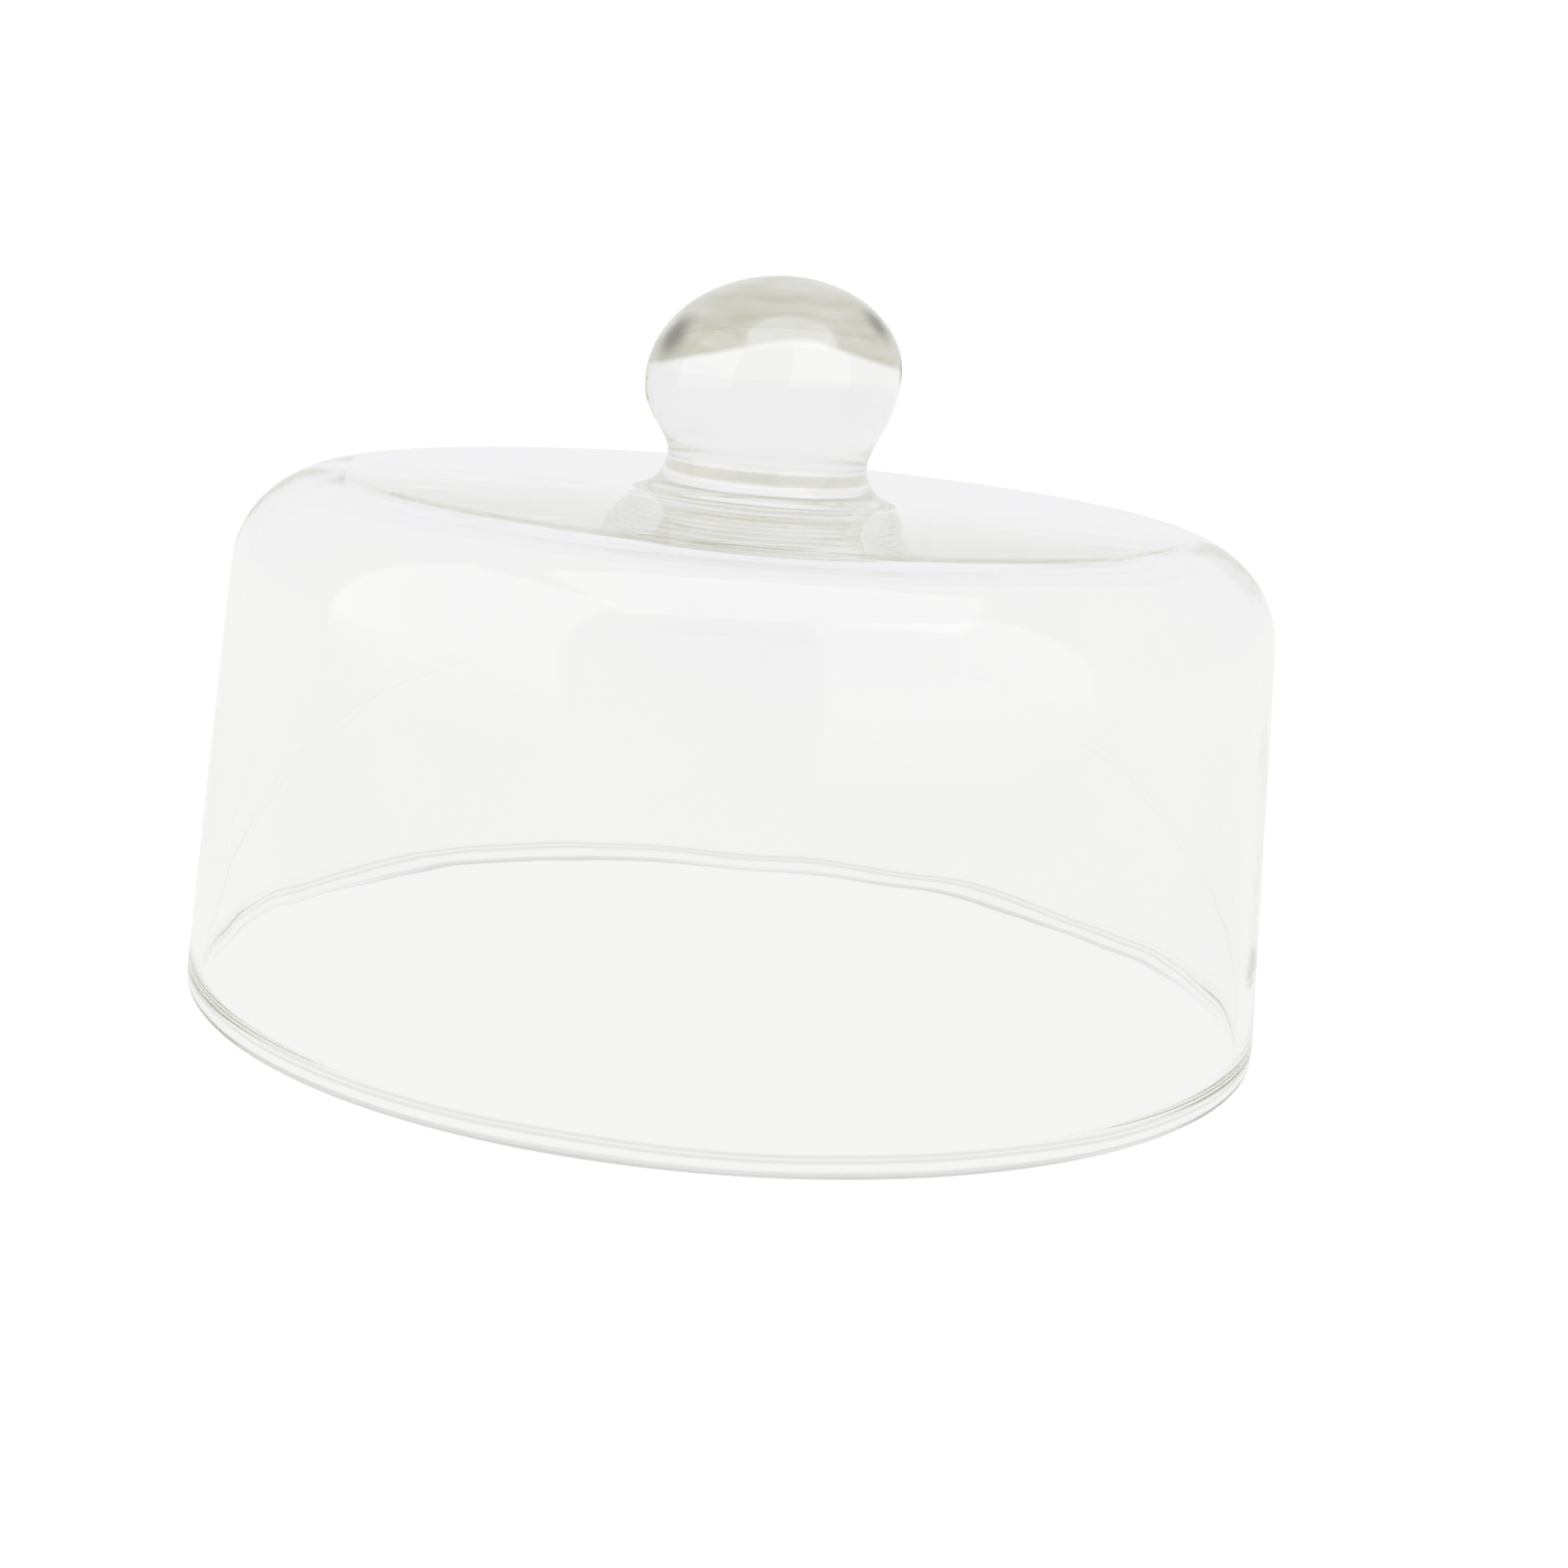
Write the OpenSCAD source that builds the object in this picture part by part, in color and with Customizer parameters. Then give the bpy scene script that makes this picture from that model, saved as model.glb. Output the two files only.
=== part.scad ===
// Glass bell jar dome: a thin-walled round cover with a flat crown, a rounded
// shoulder and a fire-polished rim, lifted by a solid ball knob that is fused
// into an opening in the middle of the crown.
//
// The origin is the centre of the circle that the rim stands on, and +Z is up.
// All sizes are in millimetres.

/* [Dome] */
// Outside diameter at the rim
dome_d = 238; // [180:1:320]
// Height from the rim's foot to the flat of the crown
dome_h = 113; // [80:1:200]
// Thickness of the side wall
wall_t = 3.5; // [2:0.1:6]
// Thickness of the crown
crown_t = 4; // [2.5:0.1:7]
// Radius of the shoulder between wall and crown, on the outside
shoulder_r = 22.5; // [12:0.5:35]
// Lean of the side wall towards the axis, in degrees
draft = 3.8; // [0:0.1:6]

/* [Rim] */
// Height of the upright band at the rim
rim_band_h = 4; // [4:0.5:12]
// Thickness of the glass in the rim band
rim_t = 4; // [3:0.1:7]
// Radius of the polished edges of the rim
rim_round = 1.6; // [0.5:0.1:2]
// Height over which the rim band thins to the wall on the inside
rim_blend_h = 4; // [4:0.5:20]

/* [Knob] */
// Height of the knob above the crown
knob_h = 47; // [35:0.5:80]
// Greatest diameter of the ball
knob_d = 55.4; // [48:0.2:80]
// Height of the ball's widest circle above the crown
belly_h = 25.4; // [20:0.1:45]
// Diameter of the neck at its waist
neck_d = 43.6; // [25:0.2:47]
// Radius of the fillet that runs from the neck out on to the crown
foot_r = 7.6; // [3:0.1:9]

/* [Fused joint] */
// Width of the knob's flat margin outside the foot fillet
seat_margin = 0.8; // [0.5:0.1:6]
// Slope of the joint's conical face, in degrees from upright
seat_slope = 20; // [5:1:40]
// Space left between the two glasses at the fused face
fuse_gap = 0.02; // [0.01:0.01:0.05]

/* [Hidden] */

$fn = 180;
ARC_STEPS = 24;                    // chords in each rounded stretch of a section

rim_r = dome_d / 2;
shoulder_z = dome_h - shoulder_r;  // height of the shoulder's centre
wall_top_z = shoulder_z + shoulder_r * sin(draft);
wall_top_r = rim_r - (wall_top_z - rim_band_h) * tan(draft);
shoulder_x = wall_top_r - shoulder_r * cos(draft);

neck_r = neck_d / 2;
foot_x = neck_r + foot_r;          // radius at which the foot fillet meets the crown
seat_r = foot_x + seat_margin;     // the opening's radius at the crown's outside
seat_run = crown_t * tan(seat_slope);
belly_z = dome_h + belly_h;
waist_z = dome_h + foot_r;

// Points on an arc with half axes rx and ry, from angle a0 to a1
function arc(cx, cy, rx, ry, a0, a1, n = ARC_STEPS) =
    [for (i = [0:n]) let (a = a0 + (a1 - a0) * i / n) [cx + rx * cos(a), cy + ry * sin(a)]];

// Points on a cubic curve, without its two ends
function curve(p0, p1, p2, p3, n = ARC_STEPS) =
    [for (i = [1:n - 1]) let (t = i / n, s = 1 - t)
        p0 * s * s * s + p1 * 3 * s * s * t + p2 * 3 * s * t * t + p3 * t * t * t];

// Radius of the outer side wall's face at height z
function wall_r(z) = rim_r - max(0, z - rim_band_h) * tan(draft);

// Half section of the glass cover, up its outside and down its inside
function dome_section() = concat(
    arc(rim_r - rim_round, rim_round, rim_round, rim_round, -90, 0, 8),
    [[rim_r, rim_band_h]],
    arc(shoulder_x, shoulder_z, shoulder_r, shoulder_r, draft, 90),
    [[seat_r, dome_h],
     [seat_r - seat_run, dome_h - crown_t]],
    arc(shoulder_x, shoulder_z, shoulder_r - wall_t, shoulder_r - crown_t, 90, draft),
    [[wall_r(rim_band_h + rim_blend_h) - wall_t, rim_band_h + rim_blend_h],
     [rim_r - rim_t, rim_band_h]],
    arc(rim_r - rim_t + rim_round, rim_round, rim_round, rim_round, 180, 270, 8));

// Half section of the knob, from the axis inside the dome out, up and back
function knob_section() = concat(
    [[0, dome_h - crown_t],
     [seat_r - seat_run - fuse_gap, dome_h - crown_t],
     [seat_r - fuse_gap, dome_h]],
    arc(foot_x, waist_z, foot_r, foot_r, 270, 180),
    curve([neck_r, waist_z],
          [neck_r, waist_z + (belly_z - waist_z) * 0.27],
          [knob_d / 2, belly_z - (belly_z - waist_z) * 0.52],
          [knob_d / 2, belly_z]),
    arc(0, belly_z, knob_d / 2, dome_h + knob_h - belly_z, 0, 90));

module dome_shell() {
    color([0.93, 0.95, 0.94, 0.35])
        rotate_extrude() polygon(dome_section());
}

module knob() {
    color([0.88, 0.90, 0.84, 0.5])
        rotate_extrude() polygon(knob_section());
}

dome_shell();
knob();
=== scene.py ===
"""Glass bell jar dome: a blown cover and a solid ball knob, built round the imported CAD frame.

Every length is in metres and every angle in radians, in the row's own frame with +Z up.
"""

import math

import bmesh
import bpy
from bpy.props import FloatProperty, FloatVectorProperty, IntProperty, PointerProperty
from mathutils import Euler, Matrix, Quaternion, Vector, noise


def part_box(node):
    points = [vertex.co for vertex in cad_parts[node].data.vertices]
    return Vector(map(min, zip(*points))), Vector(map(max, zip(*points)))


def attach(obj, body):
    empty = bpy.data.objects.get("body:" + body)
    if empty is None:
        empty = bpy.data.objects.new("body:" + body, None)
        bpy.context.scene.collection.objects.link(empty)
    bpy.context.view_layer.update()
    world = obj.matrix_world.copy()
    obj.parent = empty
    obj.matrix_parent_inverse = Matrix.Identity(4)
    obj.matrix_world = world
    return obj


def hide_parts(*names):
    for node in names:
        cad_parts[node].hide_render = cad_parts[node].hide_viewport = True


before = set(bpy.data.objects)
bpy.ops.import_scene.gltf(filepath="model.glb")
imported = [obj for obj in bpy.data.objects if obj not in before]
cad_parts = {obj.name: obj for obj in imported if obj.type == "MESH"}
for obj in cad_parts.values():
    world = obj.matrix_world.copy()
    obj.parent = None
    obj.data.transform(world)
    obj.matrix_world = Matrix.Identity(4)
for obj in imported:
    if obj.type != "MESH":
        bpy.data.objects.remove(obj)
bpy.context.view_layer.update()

bl_info = {
    "name": "Glass Bell Jar Dome",
    "version": (1, 0, 0),
    "blender": (4, 5, 0),
    "location": "View3D > Sidebar > Bell Jar",
    "description": "Adds a blown glass bell jar dome with a solid ball knob, its studio and its camera",
    "category": "Add Mesh",
}

MM = 0.001
SHELL_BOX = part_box("dome_shell")
KNOB_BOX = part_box("knob")
RIM_RADIUS = SHELL_BOX[1][0]
CROWN_Z = SHELL_BOX[1][2]
KNOB_TOP_Z = KNOB_BOX[1][2]
SEAT_RADIUS = KNOB_BOX[1][0]

# How finely each stretch of a section is cut.
BEAD_STEPS = 12
BAND_STEPS = 3
WALL_STEPS = 60
INNER_WALL_STEPS = 56
BLEND_STEPS = 6
SHOULDER_STEPS = 40
CROWN_STEPS = 40
SEAT_STEPS = 4
PLUG_STEPS = 14
FILLET_STEPS = 40
FLANK_STEPS = 32
CAP_STEPS = 48
WELD = 0.001 * MM
TOUCH = 1e-6
HARD_EDGE = math.radians(40)

# The blown unevenness of the cover: which part of the wall moves, and the size of the waves.
CROWN_OVERRUN = 1.2
INNER_FACE = (0.3, 0.9)
CALM_RIM = (4 * MM, 16 * MM)
CALM_SEAT = 8 * MM
LONG_WAVE = (22, 30)
SHORT_WAVE = (70, 90)
SHORT_WAVE_SHIFT = Vector((5, 3, 1))
SHORT_WAVE_SHARE = 0.25

# The knob's flank, its tooling rings and the swelling left by the hand.
FLANK_PULL = (0.27, 0.52)
RING_PITCH = 0.9 * MM
RING_START = 1.5 * MM
LEAN_START = 0.6
SWELL_SCALE = 28
SWELL = 0.35 * MM
SWELL_START = (0.5, 1.5)
SWELL_AXIS = 6 * MM

# Patterns in the glass.
SEAM_EDGE = 0.01 * MM
CLOUD_SCALE = 14.0
CLOUD_STOPS = [(0.45, 0.0), (0.75, 1.0)]
WIPE_SCALE = 60.0
WIPE_ROUGHNESS = 0.02
DRAWN = (1.0, 1.0, 3.0)
DOME_WAVES = (45.0, 0.012 * MM)
KNOB_WAVES = (60.0, 0.02 * MM)
RIPPLE_REACH = (30 * MM, 40 * MM)
NECK_SOFT = (3 * MM, 11 * MM, 18 * MM)
# Painted reflections: two thin, darker, wavy lines round the rim, at these heights and this width.
RIM_REFLECTION_LINES = (0.6 * MM, 3.8 * MM)
RIM_REFLECTION_WIDTH = 0.6 * MM
RIM_REFLECTION_WAVE = 1.6 * MM
SOFT_CORE = 0.2

# The painted shade in the knob's top, where the ball shows darker surroundings: its sagging lower edge,
# streaked, with one lighter place that is a painted highlight of the overhead softbox, and three painted dark
# reflections.
SHADE_SAG = 0.3
SHADE_PEAK = 5 * MM
SHADE_BEND = 4 * MM
SHADE_RISE = 1.5 * MM
SHADE_STREAK_STRETCH = (1.0, 1.0, 4.0)
SHADE_STREAK_SCALE = 55.0
SHADE_STREAK_RANGE = (0.3, 0.7)
SHADE_STREAK_LEVELS = (0.7, 1.15)
# Painted highlight: a lighter place in the painted shade at the knob's front, standing for the overhead
# softbox's reflection.
HIGHLIGHT_SQUASH = (1.0, 0.5, 2.0)
HIGHLIGHT_CENTRE = (3 * MM, -12 * MM, 2 * (KNOB_TOP_Z - 12.5 * MM))
HIGHLIGHT_REACH = (8.5 * MM, 10 * MM)
HIGHLIGHT_SHADE_LEVEL = 0.65
# Painted dark reflections: three dark spots in the knob's top, each with its centre and reach.
DARK_REFLECTIONS = (
    ((-22.5 * MM, -13 * MM, KNOB_TOP_Z - 13.5 * MM), 8 * MM),
    ((20 * MM, -9 * MM, KNOB_TOP_Z - 9 * MM), 6 * MM),
    ((26.5 * MM, -4 * MM, KNOB_TOP_Z - 18 * MM), 4.5 * MM),
)

# Softboxes: name, azimuth, distance, height of the centre, tip, width, height, radiance.
SOFTBOXES = (
    ("softbox_left", -64, 0.75, 0.57, 0, 0.83, 1.1, 0.75),
    ("softbox_right", 43, 0.75, 0.57, 0, 0.83, 1.1, 0.75),
    ("softbox_top", 10, 0.30, 0.95, 68, 1.1, 0.7, 0.8),
)
SOFTBOX_SHEETS = 4
SOFTBOX_FADE = 0.01
SOFTBOX_GAP = 2 * MM
CAMERA_CLIP = 0.01
BOUNCES = 160


# ---------------------------------------------------------------- settings


class DomeSettings(bpy.types.PropertyGroup):
    """Sizes of the blown cover."""

    wall: FloatProperty(
        name="Wall", description="Thickness of the side wall", default=3.5 * MM, unit="LENGTH"
    )
    crown: FloatProperty(name="Crown", description="Thickness of the crown", default=4.0 * MM, unit="LENGTH")
    shoulder: FloatProperty(
        name="Shoulder", description="Outside radius of the shoulder", default=22.5 * MM, unit="LENGTH"
    )
    draft: FloatProperty(
        name="Draft",
        description="Lean of the side wall towards the axis",
        default=math.radians(3.8),
        subtype="ANGLE",
    )
    rim: FloatProperty(name="Rim", description="Thickness of the rim bead", default=4.0 * MM, unit="LENGTH")
    rim_band: FloatProperty(
        name="Rim band", description="Height of the upright band at the rim", default=4.0 * MM, unit="LENGTH"
    )
    rim_round: FloatProperty(
        name="Rim round", description="Radius of the rim's polished edges", default=1.6 * MM, unit="LENGTH"
    )
    rim_blend: FloatProperty(
        name="Rim blend",
        description="Height over which the rim thins to the wall",
        default=1.6 * MM,
        unit="LENGTH",
    )
    crown_fall: FloatProperty(
        name="Crown fall",
        description="How far the crown drops from the seat to the shoulder",
        default=0.5 * MM,
        unit="LENGTH",
    )
    crown_thin: FloatProperty(
        name="Crown thinning",
        description="How much thinner the crown is at the shoulder than at the seat",
        default=0.8 * MM,
        unit="LENGTH",
    )
    wave: FloatProperty(
        name="Wave",
        description="Unevenness of the blown wall's inner face",
        default=0.16 * MM,
        unit="LENGTH",
    )
    steps: IntProperty(name="Steps", description="Faces round the circle", default=288)


class KnobSettings(bpy.types.PropertyGroup):
    """Sizes of the solid knob."""

    ball: FloatProperty(
        name="Ball", description="Greatest radius of the ball", default=27.7 * MM, unit="LENGTH"
    )
    belly: FloatProperty(
        name="Belly",
        description="Height of the widest circle above the crown",
        default=25.4 * MM,
        unit="LENGTH",
    )
    neck: FloatProperty(
        name="Neck", description="Radius of the neck's waist", default=21.8 * MM, unit="LENGTH"
    )
    foot: FloatProperty(name="Foot", description="Radius of the foot fillet", default=7.6 * MM, unit="LENGTH")
    seat_slope: FloatProperty(
        name="Seat slope",
        description="Slope of the fused face from upright",
        default=math.radians(20.0),
        subtype="ANGLE",
    )
    seat_gap: FloatProperty(
        name="Seat gap", description="Space between the two glasses", default=0.02 * MM, unit="LENGTH"
    )
    ring_depth: FloatProperty(
        name="Ring depth",
        description="Depth of the tooling rings round the foot",
        default=0.012 * MM,
        unit="LENGTH",
    )
    lean: FloatProperty(
        name="Lean", description="How far the knob's top leans to the left", default=1.3 * MM, unit="LENGTH"
    )
    tilt: FloatProperty(
        name="Tilt", description="Slope of the ball's widest circle, from left to right", default=0.10
    )
    steps: IntProperty(name="Steps", description="Faces round the circle", default=192)


class GlassSettings(bpy.types.PropertyGroup):
    """Look of the glass."""

    ior: FloatProperty(name="IOR", description="Index of refraction of soda-lime glass", default=1.52)
    clear: FloatVectorProperty(
        name="Clear",
        description="Colour of a clean face",
        default=(0.99, 0.99, 0.99),
        size=3,
        subtype="COLOR",
    )
    cloudy: FloatVectorProperty(
        name="Cloudy",
        description="Colour of a faintly clouded face",
        default=(0.975, 0.975, 0.98),
        size=3,
        subtype="COLOR",
    )
    absorb: FloatVectorProperty(
        name="Absorb",
        description="Colour that light keeps as it crosses the glass",
        default=(0.90, 0.90, 0.85),
        size=3,
        subtype="COLOR",
    )
    # Colour of the painted shade in the knob's top.
    shade: FloatVectorProperty(
        name="Shade",
        description="Colour of the knob's shaded cap",
        default=(0.42, 0.42, 0.30),
        size=3,
        subtype="COLOR",
    )
    # Colour of the painted reflection lines round the rim.
    rim_reflection: FloatVectorProperty(
        name="Rim reflection",
        description="Colour of the thin lines round the polished rim",
        default=(0.74, 0.74, 0.72),
        size=3,
        subtype="COLOR",
    )
    neck_haze: FloatProperty(name="Neck haze", description="Roughness of the tooled neck", default=0.18)
    # Colour of the painted dark reflections in the knob's top.
    dark_reflection: FloatVectorProperty(
        name="Dark reflection",
        description="Colour of the dark reflections in the smoke",
        default=(0.07, 0.07, 0.05),
        size=3,
        subtype="COLOR",
    )
    # How far the painted shade reaches down from the knob's top.
    shade_depth: FloatProperty(
        name="Smoke depth",
        description="How far the smoke reaches down from the top",
        default=13 * MM,
        unit="LENGTH",
    )
    dome_density: FloatProperty(
        name="Dome density", description="Strength of the cover's own colour", default=9.0
    )
    knob_density: FloatProperty(
        name="Knob density", description="Strength of the knob's own colour", default=4.0
    )
    ripple_pitch: FloatProperty(
        name="Ripple pitch",
        description="Distance between the tooling ripples",
        default=4.0 * MM,
        unit="LENGTH",
    )
    ripple_height: FloatProperty(
        name="Ripple height", description="Height of the tooling ripples", default=0.002 * MM, unit="LENGTH"
    )


class StageSettings(bpy.types.PropertyGroup):
    """Floor, light and camera."""

    floor: FloatProperty(name="Floor", description="Length of the floor's side", default=12.0, unit="LENGTH")
    white: FloatProperty(name="White", description="Brightness of the backdrop seen directly", default=1.1)
    floor_light: FloatVectorProperty(
        name="Floor light",
        description="Light of the floor that reaches the glass",
        default=(0.925, 0.925, 0.918),
        size=3,
        subtype="COLOR",
    )
    studio_light: FloatVectorProperty(
        name="Studio light",
        description="Light of the studio that reaches the glass",
        default=(0.895, 0.895, 0.915),
        size=3,
        subtype="COLOR",
    )
    lens: FloatProperty(name="Lens", description="Camera's focal length in millimetres", default=58.75)
    distance: FloatProperty(
        name="Distance", description="Camera's distance from the axis", default=0.560, unit="LENGTH"
    )
    height: FloatProperty(
        name="Height", description="Camera's height above the rim", default=0.1688, unit="LENGTH"
    )
    pitch: FloatProperty(
        name="Pitch", description="Camera's look downwards", default=math.radians(12.1), subtype="ANGLE"
    )
    yaw: FloatProperty(
        name="Yaw", description="Camera's look to the right", default=math.radians(1.0), subtype="ANGLE"
    )
    roll: FloatProperty(
        name="Roll",
        description="Camera's turn about its own axis",
        default=math.radians(5.0),
        subtype="ANGLE",
    )


# ---------------------------------------------------------------- outlines and meshes


def arc(centre, half_axes, start, end, steps):
    """Points on an arc of an ellipse in the (radius, height) plane, both ends included."""
    points = []
    for i in range(steps + 1):
        a = math.radians(start + (end - start) * i / steps)
        points.append((centre[0] + half_axes[0] * math.cos(a), centre[1] + half_axes[1] * math.sin(a)))
    return points


def line(start, end, steps):
    """Points on a straight stretch, without its two ends."""
    a, b = Vector(start), Vector(end)
    return [tuple(a.lerp(b, i / steps)) for i in range(1, steps)]


def curve(p0, p1, p2, p3, steps):
    """Points on a cubic curve, without its two ends."""
    p0, p1, p2, p3 = Vector(p0), Vector(p1), Vector(p2), Vector(p3)
    points = []
    for i in range(1, steps):
        t = i / steps
        s = 1 - t
        points.append(tuple(p0 * s**3 + p1 * 3 * s * s * t + p2 * 3 * s * t * t + p3 * t**3))
    return points


def revolve(outline, closed, steps):
    """A bmesh of the outline spun about the Z axis, with its poles closed and its faces outwards."""
    bm = bmesh.new()
    verts = [bm.verts.new((r, 0, z)) for r, z in outline]
    edges = [bm.edges.new(pair) for pair in zip(verts, verts[1:])]
    if closed:
        edges.append(bm.edges.new((verts[-1], verts[0])))
    bmesh.ops.spin(
        bm, geom=verts + edges, cent=(0, 0, 0), axis=(0, 0, 1), angle=math.tau, steps=steps, use_merge=True
    )
    bmesh.ops.remove_doubles(bm, verts=bm.verts, dist=WELD)
    bmesh.ops.recalc_face_normals(bm, faces=bm.faces)
    return bm


def finish_piece(bm, name, material):
    """Turns a bmesh into a smooth object with one material."""
    mesh = bpy.data.meshes.new(name)
    for face in bm.faces:
        face.smooth = True
    for edge in bm.edges:
        edge.smooth = edge.calc_face_angle(0) < HARD_EDGE
    bm.to_mesh(mesh)
    bm.free()
    mesh.materials.append(material)
    piece = bpy.data.objects.new(name, mesh)
    bpy.context.scene.collection.objects.link(piece)
    return piece


def smoothstep(low, high, x):
    """0 below low, 1 above high, and a smooth rise between."""
    t = min(max((x - low) / (high - low), 0), 1)
    return t * t * (3 - 2 * t)


# ---------------------------------------------------------------- shader helper


class Sock:
    """A shader socket that can be used in sums, so that maths reads as maths."""

    def __init__(self, tree, socket):
        self.tree = tree
        self.socket = socket

    def maths(self, operation, a, b):
        return Shader.make(self.tree, "ShaderNodeMath", {"operation": operation}, {0: a, 1: b}).out(0)

    def __add__(self, other):
        return self.maths("ADD", self, other)

    def __sub__(self, other):
        return self.maths("SUBTRACT", self, other)

    def __mul__(self, other):
        return self.maths("MULTIPLY", self, other)

    def __radd__(self, other):
        return self.maths("ADD", other, self)

    def __rsub__(self, other):
        return self.maths("SUBTRACT", other, self)

    def __rmul__(self, other):
        return self.maths("MULTIPLY", other, self)


class Shader:
    """A node with its settings and inputs filled in."""

    def __init__(self, tree, node):
        self.tree = tree
        self.node = node

    @staticmethod
    def make(tree, kind, settings=None, inputs=None):
        node = tree.nodes.new(kind)
        for key, value in (settings or {}).items():
            if key == "stops":
                ramp = node.color_ramp
                while len(ramp.elements) < len(value):
                    ramp.elements.new(0.5)
                for element, (place, level) in zip(ramp.elements, value):
                    element.position = place
                    element.color = (level, level, level, 1)
            else:
                setattr(node, key, value)
        for key, value in (inputs or {}).items():
            if isinstance(value, Sock):
                tree.links.new(value.socket, node.inputs[key])
            else:
                node.inputs[key].default_value = value
        return Shader(tree, node)

    def out(self, key):
        return Sock(self.tree, self.node.outputs[key])


def new_material(name):
    """An empty node material and its tree."""
    material = bpy.data.materials.new(name)
    material.use_nodes = True
    material.node_tree.nodes.clear()
    return material, material.node_tree


def maker(tree):
    """A short way to add a node to the tree with its settings and inputs."""

    def make(kind, settings=None, inputs=None):
        return Shader.make(tree, kind, settings, inputs)

    return make


def noise_fac(make, place, scale, detail):
    """A noise between 0 and 1."""
    return make("ShaderNodeTexNoise", None, {"Vector": place, "Scale": scale, "Detail": detail}).out("Fac")


def stretched(make, place, scale):
    """The place with each axis scaled."""
    return make("ShaderNodeMapping", None, {"Vector": place, "Scale": scale}).out("Vector")


def distance(make, place, point):
    """The distance from a point."""
    return make("ShaderNodeVectorMath", {"operation": "DISTANCE"}, {0: place, 1: point}).out("Value")


def fade(make, value, low, high, start=0.0, end=1.0, kind="SMOOTHSTEP"):
    """Goes from start to end as the value goes from low to high."""
    return make(
        "ShaderNodeMapRange",
        {"interpolation_type": kind},
        {"Value": value, "From Min": low, "From Max": high, "To Min": start, "To Max": end},
    ).out(0)


def mix_colour(make, factor, first, second):
    """The first colour where the factor is 0 and the second where it is 1."""
    return make("ShaderNodeMix", {"data_type": "RGBA"}, {0: factor, 6: first, 7: second}).out(2)


def painted_shade_mask(make, place, shade_z):
    """Where the knob's top carries painted shade: above a sagging edge, streaked, with one lighter place at
    the front that is a painted highlight.
    """
    split = make("ShaderNodeSeparateXYZ", None, {0: place})
    height = split.out("Z")
    off_peak = split.out("X") - SHADE_PEAK
    sag = height.maths("SQRT", off_peak * off_peak + SHADE_BEND * SHADE_BEND, 0.0) - SHADE_BEND
    shade = fade(make, height + sag * SHADE_SAG, shade_z, shade_z + SHADE_RISE)
    shade_streaks = noise_fac(make, stretched(make, place, SHADE_STREAK_STRETCH), SHADE_STREAK_SCALE, 2.0)
    shade_streaks = fade(make, shade_streaks, *SHADE_STREAK_RANGE, *SHADE_STREAK_LEVELS, "LINEAR")
    # Painted highlight: the painted shade thins round this place.
    from_highlight = distance(make, stretched(make, place, HIGHLIGHT_SQUASH), HIGHLIGHT_CENTRE)
    return shade * shade_streaks * fade(make, from_highlight, *HIGHLIGHT_REACH, HIGHLIGHT_SHADE_LEVEL, 1.0)


def glass_tint(make, settings, place, height, haze, shade_z):
    """Colour of the face: clean and faintly clouded glass, the painted shade in the knob's top with its
    painted highlight and painted dark reflections, and painted reflection lines round the rim.
    """
    tint = mix_colour(make, haze, (*settings.clear, 1), (*settings.cloudy, 1))
    # Painted shade in the knob's top, with its painted highlight.
    tint = mix_colour(make, painted_shade_mask(make, place, shade_z), tint, (*settings.shade, 1))
    # Painted dark reflections in the knob's top.
    for centre, reach in DARK_REFLECTIONS:
        dark_reflection = fade(make, distance(make, place, centre), SOFT_CORE * reach, reach, 1.0, 0.0)
        tint = mix_colour(make, dark_reflection, tint, (*settings.dark_reflection, 1))
    # Painted reflection lines round the rim, with a wavy edge.
    edge = height + (noise_fac(make, place, CLOUD_SCALE, 1.0) - 0.5) * RIM_REFLECTION_WAVE
    for reflection_z in RIM_REFLECTION_LINES:
        away = edge.maths("ABSOLUTE", edge - reflection_z, 0.0)
        reflection_line = fade(make, away, SOFT_CORE * RIM_REFLECTION_WIDTH, RIM_REFLECTION_WIDTH, 1.0, 0.0)
        tint = mix_colour(make, reflection_line, tint, (*settings.rim_reflection, 1))
    return tint


def glass_roughness(make, settings, place, height, haze):
    """A breath of roughness in the clouds, and a little more on the tooled neck."""
    wipe = noise_fac(make, place, WIPE_SCALE, 4.0)
    foot, low, high = (CROWN_Z + rise for rise in NECK_SOFT)
    above = fade(make, height, CROWN_Z, foot)
    below = fade(make, height, low, high, settings.neck_haze, 0.0)
    return haze * wipe * WIPE_ROUGHNESS + above * below


def glass_bump(make, settings, place, radius, waves):
    """Drawn waves all over, and tooling ripples round the knob."""
    scale, depth = waves
    drawn = noise_fac(make, stretched(make, place, DRAWN), scale, 1.5)
    ripple = radius.maths("SINE", radius * (math.tau / settings.ripple_pitch), 0.0) * settings.ripple_height
    relief = drawn * depth + ripple * fade(make, radius, *RIPPLE_REACH, 1.0, 0.0)
    return make("ShaderNodeBump", None, {"Height": relief, "Strength": 1.0, "Distance": 1.0}).out("Normal")


def seam_mask(height, radius):
    """The fused face between the cover and the knob."""
    seam_foot = CROWN_Z - bpy.context.scene.bell_jar_dome.crown
    under_top = height.maths("LESS_THAN", height, CROWN_Z - SEAM_EDGE)
    over_foot = height.maths("GREATER_THAN", height, seam_foot + SEAM_EDGE)
    return under_top * over_foot * radius.maths("LESS_THAN", radius, SEAT_RADIUS + SEAM_EDGE)


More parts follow.
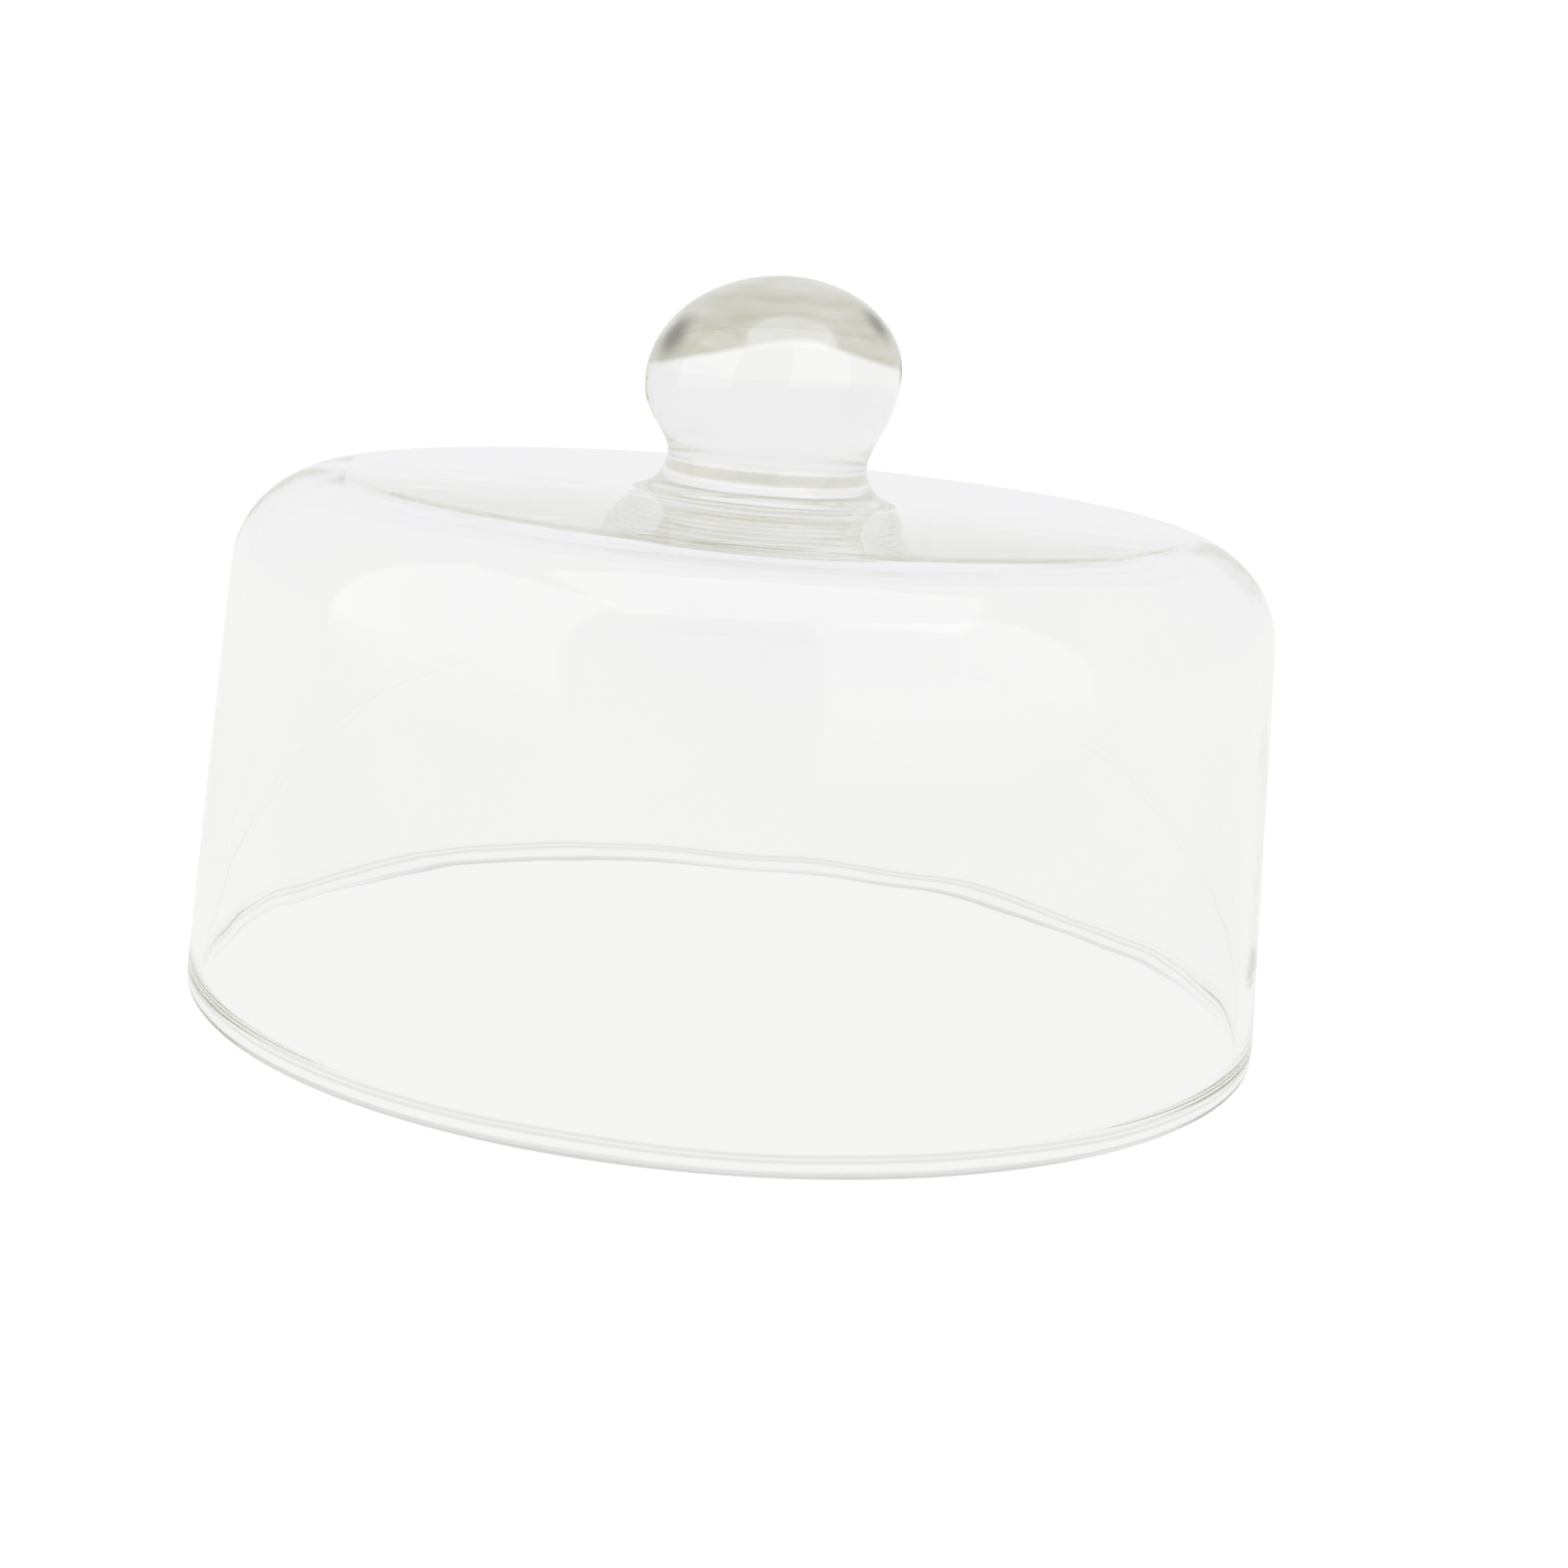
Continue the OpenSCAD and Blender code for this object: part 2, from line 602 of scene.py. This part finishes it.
def glass_material(name, settings, waves, density, shade_z):
    """Clear glass with its own body colour, and painted shade, highlight and reflections in the colour of its
    face. Light crosses the fused face without a bend or a reflection.
    """
    material, tree = new_material(name)
    make = maker(tree)
    place = make("ShaderNodeTexCoord").out("Object")
    height = make("ShaderNodeSeparateXYZ", None, {0: place}).out("Z")
    flat = stretched(make, place, (1.0, 1.0, 0.0))
    radius = make("ShaderNodeVectorMath", {"operation": "LENGTH"}, {0: flat}).out("Value")
    cloud = noise_fac(make, place, CLOUD_SCALE, 3.0)
    haze = make("ShaderNodeValToRGB", {"stops": CLOUD_STOPS}, {"Fac": cloud}).out("Color")
    surface = make(
        "ShaderNodeBsdfPrincipled",
        None,
        {
            "Base Color": glass_tint(make, settings, place, height, haze, shade_z),
            "Roughness": glass_roughness(make, settings, place, height, haze),
            "Normal": glass_bump(make, settings, place, radius, waves),
            "IOR": settings.ior,
            "Transmission Weight": 1.0,
        },
    ).out("BSDF")
    fused = make("ShaderNodeBsdfTransparent").out("BSDF")
    surface = make("ShaderNodeMixShader", None, {0: seam_mask(height, radius), 1: surface, 2: fused}).out(0)
    body = make(
        "ShaderNodeVolumeAbsorption",
        None,
        {"Color": (*settings.absorb, 1), "Density": density},
    ).out("Volume")
    make("ShaderNodeOutputMaterial", None, {"Surface": surface, "Volume": body})
    return material


# ---------------------------------------------------------------- the glass pieces


def wall_radius(dome, z):
    """Radius of the wall's outer face at height z."""
    return RIM_RADIUS - max(0, z - dome.rim_band) * math.tan(dome.draft)


def shoulder_centre(dome):
    """Radius and height of the centre that the shoulder turns about."""
    z = CROWN_Z - dome.shoulder
    touch = z + dome.shoulder * math.sin(dome.draft)
    return wall_radius(dome, touch) - dome.shoulder * math.cos(dome.draft), z


def shell_outline(dome, knob):
    """The cover's section, up its outside and down its inside."""
    centre = shoulder_centre(dome)
    lean = math.degrees(dome.draft)
    seat_foot = SEAT_RADIUS - dome.crown * math.tan(knob.seat_slope)
    outer = arc(centre, (dome.shoulder, dome.shoulder), lean, 90, SHOULDER_STEPS)
    inner_axes = (dome.shoulder - dome.wall, dome.shoulder - dome.crown)
    inner = arc(centre, inner_axes, 90, lean, SHOULDER_STEPS)
    rim_axes = (dome.rim_round, dome.rim_round)
    bead_out = arc((RIM_RADIUS - dome.rim_round, dome.rim_round), rim_axes, -90, 0, BEAD_STEPS)
    bead_in = arc((RIM_RADIUS - dome.rim + dome.rim_round, dome.rim_round), rim_axes, 180, 270, BEAD_STEPS)
    seat_top = (SEAT_RADIUS, CROWN_Z)
    seat_low = (seat_foot, CROWN_Z - dome.crown)
    band = (RIM_RADIUS, dome.rim_band)
    thin_z = dome.rim_band + dome.rim_blend
    thin = (wall_radius(dome, thin_z) - dome.wall, thin_z)
    inner_band = (RIM_RADIUS - dome.rim, dome.rim_band)
    outline = bead_out + line(bead_out[-1], band, BAND_STEPS) + [band]
    outline += line(band, outer[0], WALL_STEPS) + outer
    outline += line(outer[-1], seat_top, CROWN_STEPS) + [seat_top]
    outline += line(seat_top, seat_low, SEAT_STEPS) + [seat_low]
    outline += line(seat_low, inner[0], CROWN_STEPS) + inner
    outline += line(inner[-1], thin, INNER_WALL_STEPS) + [thin]
    outline += line(thin, inner_band, BLEND_STEPS) + [inner_band]
    outline += line(inner_band, bead_in[0], BAND_STEPS) + bead_in
    return outline


def wave_at(place, scale, shift):
    """A smooth random number between -1 and 1 at a place on the cover."""
    across, up = scale
    return noise.noise(Vector((place.x * across, place.y * across, place.z * up)) + shift)


def blow_shell(bm, dome):
    """Gives the spun cover its slightly fallen crown and the uneven thickness of blown glass."""
    centre_r, centre_z = shoulder_centre(dome)
    for v in bm.verts:
        r = math.hypot(v.co.x, v.co.y)
        z = v.co.z
        out = Vector((v.co.x / r, v.co.y / r, 0))
        span = min(max((r - SEAT_RADIUS) / (centre_r - SEAT_RADIUS), 0), CROWN_OVERRUN)
        fall = span * span * smoothstep(centre_z - dome.shoulder, CROWN_Z - dome.crown, z)
        if r <= centre_r:
            depth = CROWN_Z - z
            normal = Vector((0, 0, 1))
        elif z >= centre_z:
            depth = dome.shoulder - math.hypot(r - centre_r, z - centre_z)
            normal = (out * (r - centre_r) + Vector((0, 0, z - centre_z))).normalized()
        else:
            depth = wall_radius(dome, z) - r
            normal = out
        inside = smoothstep(INNER_FACE[0] * dome.wall, INNER_FACE[1] * dome.wall, depth)
        calm = smoothstep(*CALM_RIM, z)
        if z > centre_z:
            calm *= smoothstep(SEAT_RADIUS, SEAT_RADIUS + CALM_SEAT, r)
        facing_up = 1 if r <= centre_r else max(normal.z, 0)
        v.co.z += dome.crown_thin * min(span, 1) * facing_up * inside
        wave = wave_at(v.co, LONG_WAVE, Vector())
        wave += SHORT_WAVE_SHARE * wave_at(v.co, SHORT_WAVE, SHORT_WAVE_SHIFT)
        v.co += normal * (inside * calm * dome.wave * wave)
        v.co.z -= dome.crown_fall * fall


def knob_outline(knob):
    """The knob's section, from the axis inside the dome out, up and back to the axis."""
    seat_z = CROWN_Z
    crown = bpy.context.scene.bell_jar_dome.crown
    waist_z = seat_z + knob.foot
    belly_z = seat_z + knob.belly
    rise = belly_z - waist_z
    low_r = SEAT_RADIUS - crown * math.tan(knob.seat_slope)
    low = (low_r - knob.seat_gap, seat_z - crown)
    edge = (SEAT_RADIUS - knob.seat_gap, seat_z)
    fillet = arc((knob.neck + knob.foot, waist_z), (knob.foot, knob.foot), 270, 180, FILLET_STEPS)
    flank = curve(
        (knob.neck, waist_z),
        (knob.neck, waist_z + FLANK_PULL[0] * rise),
        (knob.ball, belly_z - FLANK_PULL[1] * rise),
        (knob.ball, belly_z),
        FLANK_STEPS,
    )
    cap = arc((0, belly_z), (knob.ball, KNOB_TOP_Z - belly_z), 0, 90, CAP_STEPS)
    outline = [(0, seat_z - crown)] + line((0, seat_z - crown), low, PLUG_STEPS) + [low]
    outline += line(low, edge, SEAT_STEPS) + [edge]
    outline += line(edge, fillet[0], BAND_STEPS) + fillet + flank + cap
    return outline


def shape_knob(bm, knob):
    """Gives the spun knob its tooling rings and the slight lean of a hand-shaped ball."""
    waist_z = CROWN_Z + knob.foot
    for v in bm.verts:
        r = math.hypot(v.co.x, v.co.y)
        z = v.co.z
        if r < TOUCH or z <= CROWN_Z + TOUCH:
            continue
        if z < waist_z:
            ring_band = smoothstep(waist_z, CROWN_Z + RING_START, z)
            v.co.z += ring_band * knob.ring_depth * math.sin(r * math.tau / RING_PITCH)
        up = smoothstep(CROWN_Z + knob.belly * LEAN_START, KNOB_TOP_Z, z)
        v.co.x -= knob.lean * up * up
        v.co.z += knob.tilt * v.co.x * smoothstep(waist_z, CROWN_Z + knob.belly, z)
        swell = noise.noise(v.co * SWELL_SCALE)
        start, full = (CROWN_Z + knob.foot * share for share in SWELL_START)
        grip = smoothstep(start, full, z) * smoothstep(0, SWELL_AXIS, r)
        v.co.x += v.co.x / r * swell * SWELL * grip
        v.co.y += v.co.y / r * swell * SWELL * grip


class BELLJAR_OT_add_shell(bpy.types.Operator):
    """Adds the blown glass cover"""

    bl_idname = "bell_jar.add_shell"
    bl_label = "Add Dome Shell"

    def execute(self, context):
        dome = context.scene.bell_jar_dome
        knob = context.scene.bell_jar_knob
        bm = revolve(shell_outline(dome, knob), True, dome.steps)
        blow_shell(bm, dome)
        settings = context.scene.bell_jar_glass
        glass = glass_material("dome_glass", settings, DOME_WAVES, settings.dome_density, KNOB_TOP_Z)
        piece = finish_piece(bm, "blown_dome", glass)
        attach(piece, "root")
        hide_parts("dome_shell")
        return {"FINISHED"}


class BELLJAR_OT_add_knob(bpy.types.Operator):
    """Adds the solid ball knob"""

    bl_idname = "bell_jar.add_knob"
    bl_label = "Add Ball Knob"

    def execute(self, context):
        knob = context.scene.bell_jar_knob
        bm = revolve(knob_outline(knob), False, knob.steps)
        shape_knob(bm, knob)
        settings = context.scene.bell_jar_glass
        # Lower edge of the painted shade in the knob's top.
        shade_z = KNOB_TOP_Z - settings.shade_depth
        glass = glass_material("knob_glass", settings, KNOB_WAVES, settings.knob_density, shade_z)
        piece = finish_piece(bm, "ball_knob", glass)
        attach(piece, "root")
        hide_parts("knob")
        return {"FINISHED"}


# ---------------------------------------------------------------- the stage


def studio_colour(make, light, white):
    """The studio's light on the glass, and plain white where the backdrop is seen directly."""
    seen = make("ShaderNodeLightPath").out("Is Camera Ray")
    return mix_colour(make, seen, (*light, 1), (white, white, white, 1))


def add_floor(stage):
    """A plain white floor at the rim's height."""
    bm = bmesh.new()
    bmesh.ops.create_grid(bm, x_segments=1, y_segments=1, size=stage.floor / 2)
    material, tree = new_material("studio_floor")
    make = maker(tree)
    tint = studio_colour(make, stage.floor_light, stage.white)
    glow = make("ShaderNodeEmission", None, {"Color": tint, "Strength": 1.0}).out(0)
    make("ShaderNodeOutputMaterial", None, {"Surface": glow})
    floor = finish_piece(bm, "studio_floor", material)


def add_world(stage):
    """An even white studio."""
    world = bpy.data.worlds.new("studio")
    world.use_nodes = True
    tree = world.node_tree
    tree.nodes.clear()
    make = maker(tree)
    tint = studio_colour(make, stage.studio_light, stage.white)
    light = make("ShaderNodeBackground", None, {"Color": tint, "Strength": 1.0}).out(0)
    make("ShaderNodeOutputWorld", None, {"Surface": light})
    bpy.context.scene.world = world


def add_softbox(name, azimuth, away, centre_z, tip, width, height, radiance):
    """A softbox that faces the dome's axis, made of stacked sheets so that it fades at its sides and foot.

    Azimuth 0 is the camera's side and grows to the right. The glass mirrors a softbox and doesn't show it
    through its walls.
    """
    a = math.radians(azimuth)
    centre = Vector((away * math.sin(a), -away * math.cos(a), centre_z))
    facing = Vector((math.sin(a), -math.cos(a), math.tan(math.radians(tip))))
    turn = facing.to_track_quat("Z", "Y")
    for sheet in range(SOFTBOX_SHEETS):
        wide = width - 2 * sheet * SOFTBOX_FADE
        tall = height - sheet * SOFTBOX_FADE
        lamp = bpy.data.lights.new(name, "AREA")
        lamp.shape = "RECTANGLE"
        lamp.size = wide
        lamp.size_y = tall
        lamp.energy = math.pi * wide * tall * radiance / SOFTBOX_SHEETS
        softbox = bpy.data.objects.new(name, lamp)
        softbox.location = centre + turn @ Vector((0, (height - tall) / 2, sheet * SOFTBOX_GAP))
        softbox.rotation_mode = "QUATERNION"
        softbox.rotation_quaternion = turn
        softbox.visible_transmission = False
        bpy.context.scene.collection.objects.link(softbox)


def add_camera(stage):
    """The camera in front of the dome, looking a little down, with the picture turned clockwise."""
    lens = bpy.data.cameras.new("camera")
    lens.lens = stage.lens
    lens.clip_start = CAMERA_CLIP
    camera = bpy.data.objects.new("camera", lens)
    camera.location = (0, -stage.distance, stage.height)
    look = Vector((0, 1, 0))
    look.rotate(Euler((-stage.pitch, 0, 0)))
    look.rotate(Euler((0, 0, -stage.yaw)))
    camera.rotation_mode = "QUATERNION"
    camera.rotation_quaternion = look.to_track_quat("-Z", "Y") @ Quaternion((0, 0, 1), stage.roll)
    bpy.context.scene.collection.objects.link(camera)
    bpy.context.scene.camera = camera


class BELLJAR_OT_add_stage(bpy.types.Operator):
    """Adds the floor, the soft studio light and the camera"""

    bl_idname = "bell_jar.add_stage"
    bl_label = "Add Stage"

    def execute(self, context):
        scene = context.scene
        stage = scene.bell_jar_stage
        add_floor(stage)
        add_world(stage)
        for softbox in SOFTBOXES:
            add_softbox(*softbox)
        add_camera(stage)
        scene.view_settings.view_transform = "Standard"
        cycles = scene.cycles
        cycles.max_bounces = cycles.transmission_bounces = cycles.glossy_bounces = BOUNCES
        cycles.transparent_max_bounces = BOUNCES
        return {"FINISHED"}


class BELLJAR_PT_panel(bpy.types.Panel):
    """Lists the bell jar's settings and its pieces"""

    bl_idname = "BELLJAR_PT_panel"
    bl_label = "Bell Jar"
    bl_space_type = "VIEW_3D"
    bl_region_type = "UI"
    bl_category = "Bell Jar"

    def draw(self, context):
        layout = self.layout
        for group, operators in PANEL_ROWS:
            settings = getattr(context.scene, group)
            box = layout.box()
            for name in settings.__annotations__:
                box.prop(settings, name)
            for operator in operators:
                box.operator(operator)


SETTINGS = {
    "bell_jar_dome": DomeSettings,
    "bell_jar_knob": KnobSettings,
    "bell_jar_glass": GlassSettings,
    "bell_jar_stage": StageSettings,
}
PANEL_ROWS = (
    ("bell_jar_dome", ("bell_jar.add_shell",)),
    ("bell_jar_knob", ("bell_jar.add_knob",)),
    ("bell_jar_glass", ()),
    ("bell_jar_stage", ("bell_jar.add_stage",)),
)
CLASSES = (
    *SETTINGS.values(),
    BELLJAR_OT_add_shell,
    BELLJAR_OT_add_knob,
    BELLJAR_OT_add_stage,
    BELLJAR_PT_panel,
)


def register():
    for cls in CLASSES:
        bpy.utils.register_class(cls)
    for name, cls in SETTINGS.items():
        setattr(bpy.types.Scene, name, PointerProperty(type=cls))


def unregister():
    for name in SETTINGS:
        delattr(bpy.types.Scene, name)
    for cls in reversed(CLASSES):
        bpy.utils.unregister_class(cls)


def main():
    """Builds the pieces and the stage."""
    register()
    bpy.ops.bell_jar.add_shell()
    bpy.ops.bell_jar.add_knob()
    bpy.ops.bell_jar.add_stage()


if __name__ == "__main__":
    main()
